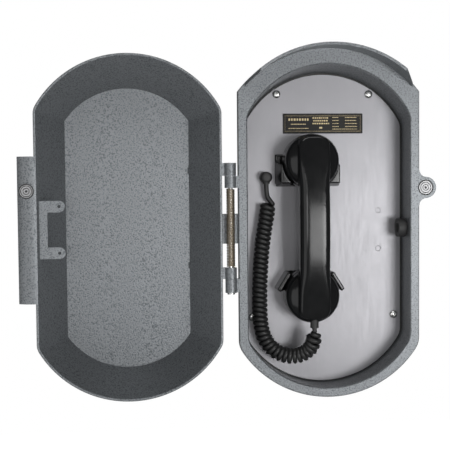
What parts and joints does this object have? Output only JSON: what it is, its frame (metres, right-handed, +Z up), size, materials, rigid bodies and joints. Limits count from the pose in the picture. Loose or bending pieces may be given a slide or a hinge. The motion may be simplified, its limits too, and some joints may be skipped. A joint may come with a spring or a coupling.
{
  "type": "weatherproof wall telephone",
  "caption": "Cast metal wall telephone with a hinged lid that opens flat, a steel faceplate, a black handset in a cradle and a curly cord.",
  "frame": {"origin": "centre of the back mounting face, midway between its bolt holes", "axes": "+X right, -Y forward out of the wall, +Z up"},
  "size_m": [0.4621, 0.12, 0.398],
  "materials": {
    "grey_hammertone": "hammertone enamel",
    "stainless_sheet": "fine satin",
    "stainless_fastener": "satin",
    "bright_nickel": "bright turned",
    "spring_wire": "oil tempered, dull bronze brown",
    "nameplate_black": "black with gold lines",
    "gloss_black": "gloss",
    "black_rubber": "matte",
    "black_cord": "satin",
    "black_plastic": "matte",
    "board_green": "solder mask",
    "component_grey": "matte",
    "terminal_brass": "plain"
  },
  "bodies": {
    "base": {"body_casting": "grey_hammertone", "faceplate": "stainless_sheet", "faceplate_screws": "stainless_fastener", "hinge_pin": "stainless_fastener", "catch_magnet_screw": "stainless_fastener", "cradle_screws": "stainless_fastener", "clip_screws": "stainless_fastener", "weld_studs": "stainless_fastener", "stud_nuts": "stainless_fastener", "catch_magnet": "bright_nickel", "conduit_hub": "bright_nickel", "conduit_nut": "bright_nickel", "hinge_spring": "spring_wire", "nameplate": "nameplate_black", "handset_cradle": "gloss_black", "handset_clip": "gloss_black", "faceplate_gasket": "black_rubber", "cord_gland": "black_rubber", "entry_bush": "black_rubber", "cord_tail_top": "black_cord", "cord_coil": "black_cord", "cord_tail_low": "black_cord", "gland_nut": "black_plastic", "entry_plug": "black_plastic", "ringer": "black_plastic", "reed_switch": "black_plastic", "circuit_board": "board_green", "board_parts": "component_grey", "board_spacers": "component_grey", "terminal_block": "component_grey", "terminal_screws": "terminal_brass"},
    "lid": {"lid_casting": "grey_hammertone", "latch_bracket": "grey_hammertone", "strike_disc": "bright_nickel", "strike_screw": "stainless_fastener"},
    "handset": {"handset_body": "gloss_black", "ear_cap": "gloss_black", "mouth_cap": "gloss_black", "receiver_capsule": "component_grey", "transmitter_capsule": "component_grey", "handset_magnet": "component_grey", "handset_strain_relief": "black_rubber"}
  },
  "joints": [
    {"name": "lid_hinge", "type": "hinge", "parent": "base", "child": "lid", "pos_m": [-0.1108, -0.0928, 0], "axis": [0, 0, 1], "range_deg": [0, 178.2]},
    {"name": "handset_lift_off", "type": "slide", "parent": "base", "child": "handset", "axis": [0, -1, 0], "range_m": [0, 0.25]}
  ]
}
